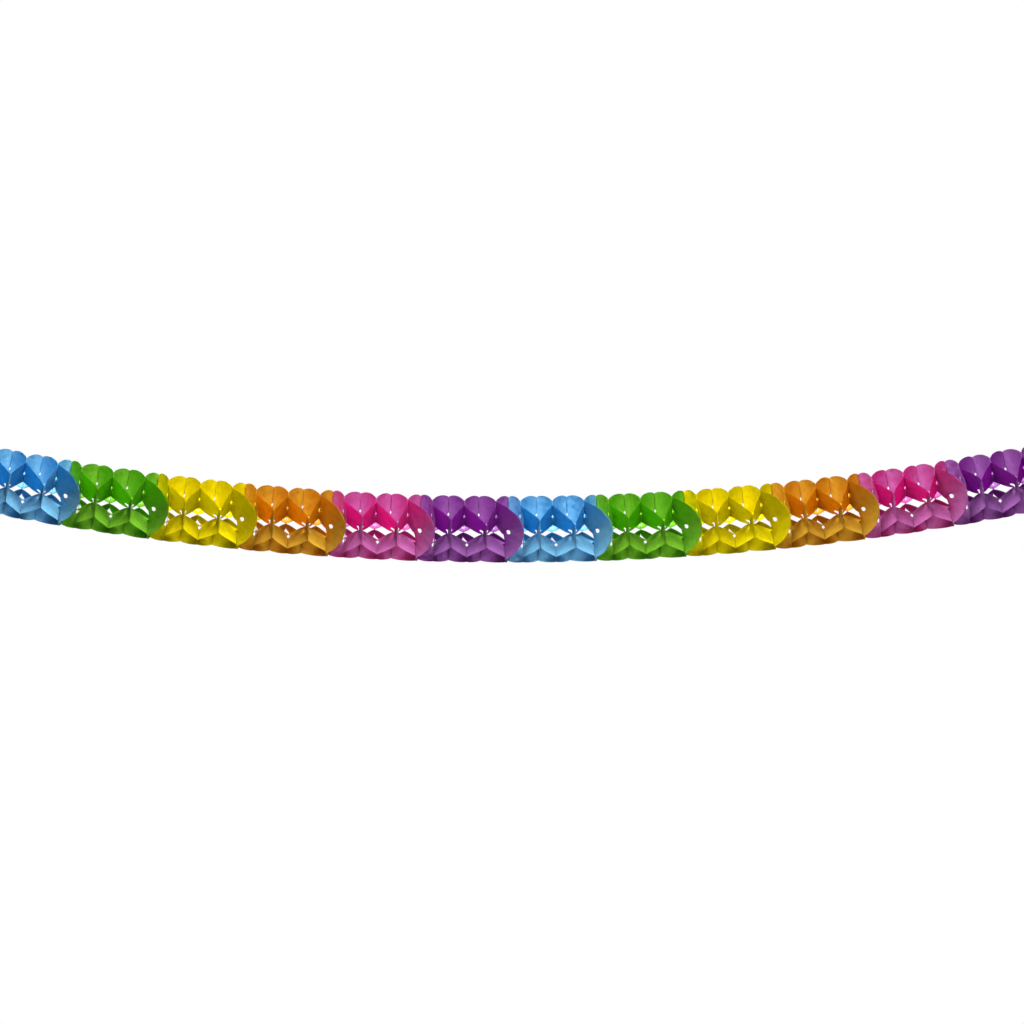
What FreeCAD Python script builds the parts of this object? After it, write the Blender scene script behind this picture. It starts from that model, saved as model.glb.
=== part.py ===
import FreeCAD, Part
import math
import os

# Tissue paper garland, pulled open and hung by its two end cards in a shallow curve.
# It is a stack of round die-cut sheets. Six radial lines divide each sheet. Glue holds it to the
# sheet on one side along every other line, and to the sheet on the other side along the rest, so
# the stack opens into a honeycomb tube. Each sheet lies flat on its glued strips and ramps between.
# The paper round the centre holes sags, and the last sheet of each colour hangs slack at the front.
# X runs along the garland, Y away from the viewer, Z up. The origin is the mouth of the left
# card's hanging hole. Lengths are in millimetres and angles in degrees.

# Tissue sheets
sheet_radius = 80.0
centre_hole_radius = 24.0
centre_hole_drop = 10.4
sheet_thickness = 0.4
glue_gap = 0.1

# Opened garland
section_pitch = 213.0
end_slope = 11.25

# End cards
card_thickness = 1.0
hanging_hole_radius = 2.5

# Colours of one repeat, a section of six sheets each
section_colours = ("blue", "green", "yellow", "orange", "pink", "purple")
repeats = 2
sheets_per_section = 6

# Where the three seams of a section lie along it on each radial line, as shares of its pitch. The
# lines are named by their angle from the front, going up. A seam on an even line joins an odd sheet
# to the next even one, counted from nought, and a seam on an odd line the other way round.
line_angles = (0, 60, 120, 180, 240, 300)
seam_shares = {
    0: (0.172, 0.357, 0.754),
    60: (0.134, 0.498, 0.857),
    120: (0.000, 0.318, 0.663),
    180: (0.150, 0.489, 0.828),
    240: (-0.008, 0.330, 0.686),
    300: (0.159, 0.533, 0.961),
}
seams_per_section = 3

# How far before and after its line a sheet stays flat at the rim at each of those seams
strip_edges = {
    0: ((28, 20), (28, 20), (28, 11)),
    60: ((9, 9), (9, 9), (9, 9)),
    120: ((8, 8), (8, 8), (8, 8)),
    180: ((20, 20), (20, 20), (20, 20)),
    240: ((8, 8), (8, 8), (8, 8)),
    300: ((8, 8), (8, 8), (8, 8)),
}
hole_strip_angle = 3.0

# How far to the left of its rim the front of a sheet's hole lies: for a sheet glued to the next one
# there, as the glue ends short of the hole, and for the last sheet of a colour
seam_opening = 12.0
slack_depth = 49.0

# Straight runs of about this many degrees stand for the rim's arc
rim_step = 15.0

section_count = repeats * len(section_colours)
sheet_count = section_count * sheets_per_section
end_seam = section_count * seams_per_section
garland_length = section_count * section_pitch
curve_radius = garland_length / 2 / math.radians(end_slope)
strip_offset = (sheet_thickness + glue_gap) / 2


def slope(along):
    """Angle of the garland's axis, in radians, at a distance along it."""
    return (along - garland_length / 2) / curve_radius


def heading(along):
    """Unit vector along the garland's axis."""
    return FreeCAD.Vector(math.cos(slope(along)), 0, math.sin(slope(along)))


def on_curve(along, up=0.0, depth=0.0):
    """Point of the hung garland, up from its axis and back from it, in the curve's own frame."""
    arm = curve_radius - up
    return FreeCAD.Vector(arm * math.sin(slope(along)), depth, -arm * math.cos(slope(along)))


left_mouth = on_curve(0) - heading(0) * (glue_gap / 2 + card_thickness)


def hang(along, square, radius, angle, drop=0.0):
    """Point of the garland by its distance along the axis, a shift square to the sheets, and its
    radius and angle on the sheet, round a centre dropped from the axis."""
    turn = math.radians(angle)
    point = on_curve(along, radius * math.sin(turn) - drop, -radius * math.cos(turn))
    return point + heading(along) * square - left_mouth


def even(line):
    """Whether a line is even: counted from the front line, which is nought."""
    return (line // 60) % 2 == 0


def seam_number(sheet, line):
    """Number of a sheet's seam on a line, counted along the garland."""
    return (sheet + 1) // 2 if even(line) else sheet // 2


def seam(sheet, line):
    """Distance along the garland of a sheet's seam on a line, and the shift of its middle from it."""
    number = seam_number(sheet, line)
    section, place = divmod(number, seams_per_section)
    at_card = even(line) and number in (0, end_seam)
    share = 0.0 if at_card else seam_shares[line][place]
    right_of_seam = (sheet % 2 == 0) == even(line)
    return (section + share) * section_pitch, strip_offset if right_of_seam else -strip_offset


def strip(sheet, line):
    """How far before and after a line a sheet stays flat at the rim."""
    return strip_edges[line][seam_number(sheet, line) % seams_per_section]


def is_slack(sheet):
    return sheet % sheets_per_section == sheets_per_section - 1 and sheet < sheet_count - 1


def front_sag(sheet):
    """How far to the left of its rim the front of a sheet's hole lies."""
    if is_slack(sheet):
        return slack_depth
    return seam_opening if sheet % 2 else 0.0


def turns(first, last):
    """Angles in equal steps from first to last."""
    steps = max(1, round((last - first) / rim_step))
    return [first + (last - first) * step / steps for step in range(steps + 1)]


def rim_share(sheet, line, linear):
    """Share of the way from one line to the next at the rim. A slack sheet is rounder at the front."""
    turn = math.radians(90 * linear)
    if is_slack(sheet) and line == line_angles[0]:
        return 1 - math.cos(turn)
    if is_slack(sheet) and line == line_angles[-1]:
        return math.sin(turn)
    return linear


def rim_runs(sheet):
    """Runs of points round a sheet's rim: over the strip of each line, and up the ramp after it."""
    runs = []
    for line, next_line in zip(line_angles, line_angles[1:] + line_angles[:1]):
        start, start_shift = seam(sheet, line)
        end, end_shift = seam(sheet, next_line)
        first = line + strip(sheet, line)[1]
        last = line + 60 - strip(sheet, next_line)[0]
        ramp = []
        for angle in turns(first, last):
            share = rim_share(sheet, line, (angle - first) / (last - first))
            along = start + (end - start) * share
            shift = start_shift + (end_shift - start_shift) * share
            ramp.append(hang(along, shift, sheet_radius, angle))
        over = turns(line - strip(sheet, line)[0], first)
        runs += [[hang(start, start_shift, sheet_radius, angle) for angle in over], ramp]
    return runs


def hole_points(sheet):
    """Points round a sheet's dropped centre hole, two to a line."""
    points = []
    for line in line_angles:
        along, shift = seam(sheet, line)
        if line == line_angles[0]:
            along -= front_sag(sheet)
        for angle in (line - hole_strip_angle, line + hole_strip_angle):
            points.append(hang(along, shift, centre_hole_radius, angle, centre_hole_drop))
    return points


def fan(start, end, run):
    """Facets between one edge of the hole, from start to end, and a run of the rim."""
    middle = len(run) // 2
    facets = [[start, run[middle], end]]
    for step in range(len(run) - 1):
        facets.append([start if step < middle else end, run[step], run[step + 1]])
    return facets


def flat_face(corners):
    return Part.Face(Part.makePolygon(corners + corners[:1]))


def thicken(facets, rim, hole, push):
    """Solid of a folded sheet: its two skins, half of push each way, and its two cut edges."""
    half = push * 0.5
    loops = [[point + half for point in facet] for facet in facets]
    loops += [[point - half for point in reversed(facet)] for facet in facets]
    for edge in (rim, list(reversed(hole))):
        for point, following in zip(edge, edge[1:] + edge[:1]):
            loops.append([point - half, following - half, following + half, point + half])
    shell = Part.makeShell([flat_face(loop) for loop in loops])
    shell.sewShape()
    solid = Part.makeSolid(shell)
    if solid.Volume < 0:
        solid.reverse()
    return solid


def tissue_sheet(sheet):
    runs = rim_runs(sheet)
    hole = hole_points(sheet)
    facets = []
    for run, start, end in zip(runs, hole, hole[1:] + hole[:1]):
        facets += fan(start, end, run)
    rim = [point for run in runs for point in run[:-1]]
    middle = sum(seam(sheet, line)[0] for line in line_angles) / len(line_angles)
    return thicken(facets, rim, hole, heading(middle) * sheet_thickness)


def end_card(along, shift):
    """Round card glued to an outermost sheet, punched with a hanging hole."""
    base = hang(along, shift, 0, 0)
    card = Part.makeCylinder(sheet_radius, card_thickness, base, heading(along))
    return card.cut(Part.makeCylinder(hanging_hole_radius, card_thickness, base, heading(along)))


def build_parts():
    """Every node of the garland by name: a pair of glued sheets each, and the two end cards."""
    parts = {"end_card_left": end_card(0, -glue_gap / 2 - card_thickness)}
    for first in range(0, sheet_count, 2):
        section, in_section = divmod(first, sheets_per_section)
        colour = section_colours[section % len(section_colours)]
        name = f"section_{section + 1:02d}_{colour}_pair_{in_section // 2 + 1}"
        parts[name] = Part.makeCompound([tissue_sheet(first), tissue_sheet(first + 1)])
    parts["end_card_right"] = end_card(garland_length, glue_gap / 2)
    return parts


os.makedirs("parts", exist_ok=True)
for node, shape in build_parts().items():
    shape.exportStep(f"parts/{node}.step")
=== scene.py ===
import math

import bpy
import numpy as np
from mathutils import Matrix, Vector
from mathutils.geometry import delaunay_2d_cdt


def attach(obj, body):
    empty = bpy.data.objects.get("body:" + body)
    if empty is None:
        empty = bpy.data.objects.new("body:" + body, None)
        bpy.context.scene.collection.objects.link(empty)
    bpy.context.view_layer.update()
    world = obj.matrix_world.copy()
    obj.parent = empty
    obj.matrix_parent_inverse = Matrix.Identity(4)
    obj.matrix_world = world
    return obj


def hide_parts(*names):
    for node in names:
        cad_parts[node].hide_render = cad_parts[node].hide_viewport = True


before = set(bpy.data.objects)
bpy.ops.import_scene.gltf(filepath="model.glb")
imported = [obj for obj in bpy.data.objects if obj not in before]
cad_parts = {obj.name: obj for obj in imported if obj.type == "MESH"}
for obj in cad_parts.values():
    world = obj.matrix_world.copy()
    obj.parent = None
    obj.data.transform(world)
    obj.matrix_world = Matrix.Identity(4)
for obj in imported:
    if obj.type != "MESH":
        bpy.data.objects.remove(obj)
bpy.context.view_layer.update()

# Tissue paper garland in metres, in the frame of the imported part. The first values are those of the
# part's source: the folded sheets here follow the same seams on the same hanging curve.

sheet_radius = 0.080
centre_hole_radius = 0.024
centre_hole_drop = 0.0104
glue_gap = 0.0001
section_pitch = 0.213
end_slope = 11.25
card_thickness = 0.001

section_colours = ("blue", "green", "yellow", "orange", "pink", "purple")
repeats = 2
sheets_per_section = 6
seams_per_section = 3
sector_angle = 60
line_angles = (0, 60, 120, 180, 240, 300)
seam_shares = {
    0: (0.172, 0.357, 0.754),
    60: (0.134, 0.498, 0.857),
    120: (0.000, 0.318, 0.663),
    180: (0.150, 0.489, 0.828),
    240: (-0.008, 0.330, 0.686),
    300: (0.159, 0.533, 0.961),
}

# How far before and after its line, in degrees, a sheet stays flat at the rim at each seam, and at
# its centre hole. Lines 60, 240 and 300 depart from the part's source, to follow the photo's
# outline.
strip_edges = {
    0: ((28, 20), (28, 20), (28, 11)),
    60: ((9, 2), (9, 2), (9, 2)),
    120: ((8, 8), (8, 8), (8, 8)),
    180: ((20, 20), (20, 20), (20, 20)),
    240: ((8, 16), (8, 16), (8, 16)),
    300: ((16, 8), (16, 8), (16, 8)),
}
hole_strip_angle = 1.0

# Near the hole the paper leaves the front and back lines sooner than it does at the rim
middle_lines = (0, 180)
early_rise = 0.7
rim_roundness = 0.25
reach_of_hole = 3.0

# How far to the left of its rim the front of a sheet's hole lies: for a sheet glued to the next one
# there, and for the last sheet of a colour
seam_opening = 0.012
slack_depth = 0.049

# The tissue itself. Each small hole is placed by its angle on the sheet and its share of the way
# from the centre hole to the rim. The flat radii are those of a sheet as it is cut.
tissue_thickness = 0.00015
glue_thickness = 0.00004
crease_height = 0.0004
crease_share = 0.12
crease_waves = 9
crease_lengths = (0.010, 0.034)
small_holes = ((6, 0.27), (60, 0.38), (120, 0.38), (174, 0.27), (240, 0.16), (300, 0.16))
small_hole_radius = 0.0050

# How finely a sheet is cut up: the distance between points, the points round each hole, and the
# room between a small hole's edge and other points. Triangles whose middle lies within the last two
# radii fall in a hole.
mesh_spacing = 0.0032
centre_hole_points = 60
small_hole_points = 14
edge_room = 0.4 * mesh_spacing
merge_distance = 1e-7
centre_hole_edge = 0.999 * centre_hole_radius
small_hole_edge = 0.98 * small_hole_radius
sharp_angle = 60

section_count = repeats * len(section_colours)
sheet_count = section_count * sheets_per_section
end_seam = section_count * seams_per_section
garland_length = section_count * section_pitch
curve_radius = garland_length / 2 / math.radians(end_slope)
strip_offset = (tissue_thickness + glue_thickness) / 2
ring_width = sheet_radius - centre_hole_radius
ring_place_steps = 10


# The hanging curve

def slope(along):
    """Angle of the garland's axis, in radians, at a distance along it."""
    return (along - garland_length / 2) / curve_radius


def heading(along):
    turn = slope(along)
    return np.stack([np.cos(turn), np.zeros_like(turn), np.sin(turn)], axis=-1)


def on_curve(along, up, depth):
    arm = curve_radius - up
    turn = slope(along)
    return np.stack([arm * np.sin(turn), depth + 0 * arm, -arm * np.cos(turn)], axis=-1)


zero = np.array(0.0)
left_mouth = on_curve(zero, zero, zero) - heading(zero) * (glue_gap / 2 + card_thickness)


def hang(along, square, across, up):
    """Points of the garland by the distance along its axis, a shift square to the sheets, and the
    place on the sheet."""
    return on_curve(along, up, across) + heading(along) * square[..., None] - left_mouth


def even(line):
    """Whether a line is even: counted from the front line, which is nought."""
    return (line // sector_angle) % 2 == 0


def seam_place(sheet, line):
    """Section and place in it of a sheet's seam on a line, and whether it is at an end card."""
    number = (sheet + 1) // 2 if even(line) else sheet // 2
    return (*divmod(number, seams_per_section), even(line) and number in (0, end_seam))


def seam(sheet, line):
    """Distance along the garland of a sheet's seam on a line, and the shift of its middle from it."""
    section, place, at_card = seam_place(sheet, line)
    share = 0.0 if at_card else seam_shares[line][place]
    right_of_seam = (sheet % 2 == 0) == even(line)
    return (section + share) * section_pitch, strip_offset if right_of_seam else -strip_offset


# The flat die-cut sheet, as points and triangles

def circle(radius, count, centre=(0.0, 0.0)):
    angles = np.arange(count) * 2 * math.pi / count
    across = centre[0] + radius * np.cos(angles)
    up = centre[1] + radius * np.sin(angles)
    return np.stack([across, up], axis=1)


def points_round(radius):
    """Number of points round a circle: some on each line of the sheet, and some halfway."""
    multiple = 2 * len(line_angles)
    return multiple * round(2 * math.pi * radius / mesh_spacing / multiple)


def ring_radius(share):
    return centre_hole_radius + ring_width * share


def ring_at(share, count):
    """Circle of the flat sheet at a share of the way from its centre hole to its rim."""
    return circle(ring_radius(share), count, (0.0, -centre_hole_drop * (1 - share)))


def ring_point(angle, share):
    """Point of the flat sheet at an angle and a share of the way from its centre hole to its rim."""
    radius = ring_radius(share)
    turn = math.radians(angle)
    return radius * math.cos(turn), radius * math.sin(turn) - centre_hole_drop * (1 - share)


def ring_place(flat):
    """Angle round the sheet, and share of the way from the centre hole to the rim."""
    share = np.zeros(len(flat))
    for _ in range(ring_place_steps):
        from_centre = flat + np.stack([0 * share, centre_hole_drop * (1 - share)], axis=1)
        share = (np.hypot(*from_centre.T) - centre_hole_radius) / ring_width
    angle = np.degrees(np.arctan2(from_centre[:, 1], from_centre[:, 0])) % 360
    return angle, np.clip(share, 0, 1)


def die_cut():
    """Points and triangles of the flat ring with its seven holes."""
    small_centres = np.array([ring_point(angle, share) for angle, share in small_holes])
    loops = [circle(sheet_radius, points_round(sheet_radius)), ring_at(0, centre_hole_points)]
    loops += [circle(small_hole_radius, small_hole_points, centre) for centre in small_centres]
    points = [point for loop in loops for point in loop]
    edges = []
    first = 0
    for loop in loops:
        edges += [(first + k, first + (k + 1) % len(loop)) for k in range(len(loop))]
        first += len(loop)
    ring_count = round(ring_width / mesh_spacing)
    for number in range(1, ring_count):
        share = number / ring_count
        for point in ring_at(share, points_round(ring_radius(share))):
            clear = np.hypot(*(small_centres - point).T).min() - small_hole_radius
            if clear > edge_room:
                points.append(point)
    made = delaunay_2d_cdt([Vector(point) for point in points], edges, [], 0, merge_distance)
    flat = np.array([tuple(point) for point in made[0]])
    triangles = np.array([face for face in made[2] if len(face) == 3])
    centres = flat[triangles].mean(axis=1)
    keep = np.hypot(*(centres + [0, centre_hole_drop]).T) > centre_hole_edge
    for centre in small_centres:
        keep &= np.hypot(*(centres - centre).T) > small_hole_edge
    triangles = triangles[keep]
    a, b, c = (flat[triangles[:, k]] for k in range(3))
    turned = (b - a)[:, 0] * (c - a)[:, 1] - (b - a)[:, 1] * (c - a)[:, 0] < 0
    triangles[turned] = triangles[turned][:, ::-1]
    used = np.unique(triangles)
    renumber = np.full(len(flat), -1)
    renumber[used] = np.arange(len(used))
    return flat[used], renumber[triangles]


def cut_edges(triangles):
    """Directed edges that only one triangle has: the rim and the holes."""
    directed = np.concatenate([triangles[:, [0, 1]], triangles[:, [1, 2]], triangles[:, [2, 0]]])
    twins = {(b, a) for a, b in directed.tolist()}
    return np.array([edge for edge in directed.tolist() if tuple(edge) not in twins])


# The folded sheet

def smooth(share):
    share = np.clip(share, 0, 1)
    return share * share * (3 - 2 * share)


def strip_growth(share, line):
    """Growth of a strip from nought at the centre hole to one at the rim."""
    return share ** 0.5 if line in middle_lines else share ** 2


def rise_between(sheet, angle, share, line, next_line):
    """Rise of a sheet from one line to the next, from nought to one, across a sector."""
    after = strip_edges[line][seam_place(sheet, line)[1]][1]
    before = strip_edges[next_line][seam_place(sheet, next_line)[1]][0]
    first_strip = hole_strip_angle + (after - hole_strip_angle) * strip_growth(share, line)
    last_strip = hole_strip_angle + (before - hole_strip_angle) * strip_growth(share, next_line)
    ramp = np.clip((angle - line - first_strip) / (sector_angle - first_strip - last_strip), 0, 1)
    at_rim = (1 - rim_roundness) * ramp + rim_roundness * smooth(ramp)
    if slack(sheet) and line == 0:
        at_rim = 2 - 2 * np.cos(np.radians(angle))
    elif slack(sheet) and next_line == 0:
        at_rim = 2 * np.cos(np.radians(angle)) - 1
    if line in middle_lines:
        at_hole = ramp ** early_rise
    elif next_line in middle_lines:
        at_hole = 1 - (1 - ramp) ** early_rise
    else:
        at_hole = ramp
    return at_rim + (at_hole - at_rim) * (1 - share) ** reach_of_hole


def slack(sheet):
    """Whether a sheet is the last of its colour, which hangs slack and round at the front."""
    return sheet % sheets_per_section == sheets_per_section - 1 and sheet < sheet_count - 1


def front_sag(sheet):
    """How far to the left of its rim the front of a sheet's hole lies."""
    if slack(sheet):
        return slack_depth
    return seam_opening if sheet % 2 else 0.0


def folded(sheet, angle, share):
    """Middle of a folded sheet: distance along the garland and shift square to the sheets."""
    sector = np.floor(angle / sector_angle).astype(int)
    along = np.zeros(len(angle))
    shift = np.zeros(len(angle))
    next_lines = line_angles[1:] + line_angles[:1]
    for number, (line, next_line) in enumerate(zip(line_angles, next_lines)):
        here = sector == number
        rise = rise_between(sheet, angle[here], share[here], line, next_line)
        start_along, start_shift = seam(sheet, line)
        end_along, end_shift = seam(sheet, next_line)
        along[here] = start_along + (end_along - start_along) * rise
        shift[here] = start_shift + (end_shift - start_shift) * rise
        if 0 in (line, next_line):
            to_front = rise if next_line == 0 else 1 - rise
            along[here] -= front_sag(sheet) * (1 - share[here]) * to_front
    return along, shift


def creases(sheet, flat, room):
    """Shallow random waves of the tissue, which die out where it is glued to its neighbours."""
    rng = np.random.default_rng(sheet)
    height = np.zeros(len(flat))
    for wave in range(crease_waves):
        turn = rng.uniform(0, math.pi)
        length = rng.uniform(*crease_lengths)
        along_wave = flat @ np.array([math.cos(turn), math.sin(turn)]) / length
        height += np.sin(2 * math.pi * along_wave + rng.uniform(0, 2 * math.pi))
    limit = np.minimum(crease_share * room, crease_height)
    return height / math.sqrt(crease_waves) * limit


def sheet_object(sheet, name, flat, triangles, edges, material):
    angle, share = ring_place(flat)
    along, shift = folded(sheet, angle, share)
    neighbours = [other for other in (sheet - 1, sheet + 1) if 0 <= other < sheet_count]
    room = np.min([np.abs(folded(other, angle, share)[0] - along) for other in neighbours], axis=0)
    along = along + creases(sheet, flat, room)
    across, up = -flat[:, 0], flat[:, 1]
    half = tissue_thickness / 2
    front = hang(along, shift + half, across, up)
    back = hang(along, shift - half, across, up)
    count = len(flat)
    walls = np.stack([edges[:, 1], edges[:, 0], edges[:, 0] + count, edges[:, 1] + count], axis=1)
    faces = triangles.tolist() + (triangles[:, ::-1] + count).tolist() + walls.tolist()
    mesh = bpy.data.meshes.new(name)
    mesh.from_pydata(np.concatenate([front, back]).tolist(), [], faces)
    mesh.update()
    mesh.polygons.foreach_set("use_smooth", np.ones(len(faces), dtype=bool))
    mesh.set_sharp_from_angle(angle=math.radians(sharp_angle))
    mesh.materials.append(material)
    piece = bpy.data.objects.new(name, mesh)
    bpy.context.collection.objects.link(piece)
    return piece


# Materials

def node(tree, kind, **inputs):
    made = tree.nodes.new(kind)
    for key, value in inputs.items():
        made.inputs[key.replace("_", " ")].default_value = value
    return made


tissue_colours = {
    "blue": ((0.21, 0.53, 0.73), (0.001, 0.28, 0.50)),
    "green": ((0.19, 0.46, 0.03), (0.16, 0.45, 0.002)),
    "yellow": ((0.76, 0.64, 0.004), (0.48, 0.46, 0.002)),
    "orange": ((0.58, 0.35, 0.03), (0.60, 0.30, 0.001)),
    "pink": ((0.50, 0.15, 0.43), (0.64, 0.001, 0.30)),
    "purple": ((0.36, 0.13, 0.42), (0.33, 0.001, 0.37)),
}


# Darkest and palest shade of the grain, as shares of the tissue's colour by lit and by passed light
lit_grain = (0.86, 1.12)
through_grain = (0.88, 1.08)
brightest = 0.95


def tissue(name, lit, through):
    material = bpy.data.materials.new(name)
    material.use_nodes = True
    tree = material.node_tree
    tree.nodes.clear()
    link = tree.links.new
    place = node(tree, "ShaderNodeTexCoord")
    fibres = node(tree, "ShaderNodeTexNoise", Scale=900.0, Detail=4.0, Roughness=0.6)
    cloud = node(tree, "ShaderNodeTexNoise", Scale=90.0, Detail=3.0, Roughness=0.55)
    link(place.outputs["Object"], fibres.inputs["Vector"])
    link(place.outputs["Object"], cloud.inputs["Vector"])
    blend = node(tree, "ShaderNodeMath")
    blend.operation = "ADD"
    link(fibres.outputs["Fac"], blend.inputs[0])
    link(cloud.outputs["Fac"], blend.inputs[1])

    def shade(colour, low, high):
        ramp = tree.nodes.new("ShaderNodeValToRGB")
        ramp.color_ramp.elements[0].position = 0.7
        ramp.color_ramp.elements[0].color = (*[c * low for c in colour], 1)
        ramp.color_ramp.elements[1].color = (*[min(c * high, brightest) for c in colour], 1)
        link(blend.outputs["Value"], ramp.inputs["Fac"])
        return ramp.outputs["Color"]

    bump = node(tree, "ShaderNodeBump", Strength=0.25, Distance=0.0004)
    link(blend.outputs["Value"], bump.inputs["Height"])
    paper = node(tree, "ShaderNodeBsdfDiffuse", Roughness=0.6)
    link(shade(lit, *lit_grain), paper.inputs["Color"])
    link(bump.outputs["Normal"], paper.inputs["Normal"])
    glow = node(tree, "ShaderNodeBsdfTranslucent")
    link(shade(through, *through_grain), glow.inputs["Color"])
    link(bump.outputs["Normal"], glow.inputs["Normal"])
    mix = node(tree, "ShaderNodeMixShader", Fac=0.5)
    link(paper.outputs["BSDF"], mix.inputs[1])
    link(glow.outputs["BSDF"], mix.inputs[2])
    output = node(tree, "ShaderNodeOutputMaterial")
    link(mix.outputs["Shader"], output.inputs["Surface"])
    return material


def card_stock():
    material = bpy.data.materials.new("card_stock")
    material.use_nodes = True
    tree = material.node_tree
    paper = tree.nodes["Principled BSDF"]
    paper.inputs["Roughness"].default_value = 0.85
    place = node(tree, "ShaderNodeTexCoord")
    pulp = node(tree, "ShaderNodeTexNoise", Scale=400.0, Detail=5.0)
    tree.links.new(place.outputs["Object"], pulp.inputs["Vector"])
    ramp = tree.nodes.new("ShaderNodeValToRGB")
    ramp.color_ramp.elements[0].color = (0.60, 0.57, 0.50, 1)
    ramp.color_ramp.elements[1].color = (0.74, 0.71, 0.64, 1)
    tree.links.new(pulp.outputs["Fac"], ramp.inputs["Fac"])
    tree.links.new(ramp.outputs["Color"], paper.inputs["Base Color"])
    bump = node(tree, "ShaderNodeBump", Strength=0.2, Distance=0.0003)
    tree.links.new(pulp.outputs["Fac"], bump.inputs["Height"])
    tree.links.new(bump.outputs["Normal"], paper.inputs["Normal"])
    return material


# Camera, floor and light

photo_pixels = 1024
metres_per_pixel = 0.0024
camera_distance = 20.0
camera_elevation = 5.0
lowest_axis_row = 529.3
lowest_axis_column = 508.5
view_reach = 200.0

floor_size = 40.0
floor_height = -1.2
floor_grey = 0.06
sky_strength = 0.02

lamp_target = (1.27, 0.0, -0.1)
lamp_distance = 3.2
lamp_size = (2.4, 1.2)
# Each lamp's turn in degrees from the viewer's side over the top, and its power in watts
lamps = {
    "front_light": (70, 312),
    "top_light": (95, 579),
    "high_back_light": (130, 45),
    "back_light": (165, 113),
}


def set_camera():
    data = bpy.data.cameras.new("camera")
    camera = bpy.data.objects.new("camera", data)
    bpy.context.collection.objects.link(camera)
    width = photo_pixels * metres_per_pixel
    data.lens = data.sensor_width * camera_distance / width
    data.clip_end = view_reach
    lowest = hang(np.array(garland_length / 2), zero, zero, zero)
    tilt = math.radians(camera_elevation)
    back = Vector((0, -math.cos(tilt), math.sin(tilt)))
    up = Vector((0, math.sin(tilt), math.cos(tilt)))
    right = Vector((1, 0, 0))
    aim = Vector(lowest) + up * (lowest_axis_row - photo_pixels / 2) * metres_per_pixel
    aim -= right * (lowest_axis_column - photo_pixels / 2) * metres_per_pixel
    camera.location = aim + back * camera_distance
    camera.rotation_mode = "QUATERNION"
    camera.rotation_quaternion = (-back).to_track_quat("-Z", "Y")
    bpy.context.scene.camera = camera


def white_to_camera(tree, surface, output_socket):
    """Shows plain white to the camera and the given shader to everything else."""
    path = tree.nodes.new("ShaderNodeLightPath")
    kind = "ShaderNodeBackground" if surface.type == "BACKGROUND" else "ShaderNodeEmission"
    white = node(tree, kind, Color=(1, 1, 1, 1), Strength=1.0)
    mix = tree.nodes.new("ShaderNodeMixShader")
    tree.links.new(path.outputs["Is Camera Ray"], mix.inputs["Fac"])
    tree.links.new(surface.outputs[0], mix.inputs[1])
    tree.links.new(white.outputs[0], mix.inputs[2])
    tree.links.new(mix.outputs["Shader"], output_socket)


def set_floor():
    mesh = bpy.data.meshes.new("floor")
    sides = ((-1, -1), (1, -1), (1, 1), (-1, 1))
    corners = [(floor_size * x, floor_size * y, floor_height) for x, y in sides]
    mesh.from_pydata(corners, [], [(0, 1, 2, 3)])
    floor = bpy.data.objects.new("floor", mesh)
    bpy.context.collection.objects.link(floor)
    material = bpy.data.materials.new("floor")
    material.use_nodes = True
    tree = material.node_tree
    tree.nodes.clear()
    paint = node(tree, "ShaderNodeBsdfDiffuse", Color=(floor_grey, floor_grey, floor_grey, 1))
    output = tree.nodes.new("ShaderNodeOutputMaterial")
    white_to_camera(tree, paint, output.inputs["Surface"])
    mesh.materials.append(material)


def set_world():
    world = bpy.data.worlds.new("world")
    bpy.context.scene.world = world
    world.use_nodes = True
    tree = world.node_tree
    tree.nodes.clear()
    sky = node(tree, "ShaderNodeBackground", Color=(1, 1, 1, 1), Strength=sky_strength)
    output = tree.nodes.new("ShaderNodeOutputWorld")
    white_to_camera(tree, sky, output.inputs["Surface"])


def soft_light(name, turn, power):
    """Wide lamp turned round the garland from the viewer's side (0 degrees) over the top (90)."""
    data = bpy.data.lights.new(name, "AREA")
    data.shape = "RECTANGLE"
    data.size, data.size_y = lamp_size
    data.energy = power
    light = bpy.data.objects.new(name, data)
    angle = math.radians(turn)
    arm = Vector((0, -math.cos(angle), math.sin(angle)))
    light.location = Vector(lamp_target) + arm * lamp_distance
    light.rotation_mode = "QUATERNION"
    light.rotation_quaternion = (-arm).to_track_quat("-Z", "Y")
    bpy.context.collection.objects.link(light)


bpy.context.scene.view_settings.view_transform = "Standard"
set_camera()
set_floor()
set_world()
for name, (turn, power) in lamps.items():
    soft_light(name, turn, power)

tissues = {name: tissue(f"tissue_{name}", *pair) for name, pair in tissue_colours.items()}
flat_sheet, flat_triangles = die_cut()
flat_edges = cut_edges(flat_triangles)

for sheet in range(sheet_count):
    section, in_section = divmod(sheet, sheets_per_section)
    colour = section_colours[section % len(section_colours)]
    prefix = f"section_{section + 1:02d}_{colour}"
    name = f"{prefix}_sheet_{in_section + 1}"
    piece = sheet_object(sheet, name, flat_sheet, flat_triangles, flat_edges, tissues[colour])
    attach(piece, "root")
    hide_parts(f"{prefix}_pair_{in_section // 2 + 1}")

card = card_stock()
for side in ("left", "right"):
    cad_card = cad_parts[f"end_card_{side}"]
    cad_card.data.materials.clear()
    cad_card.data.materials.append(card)
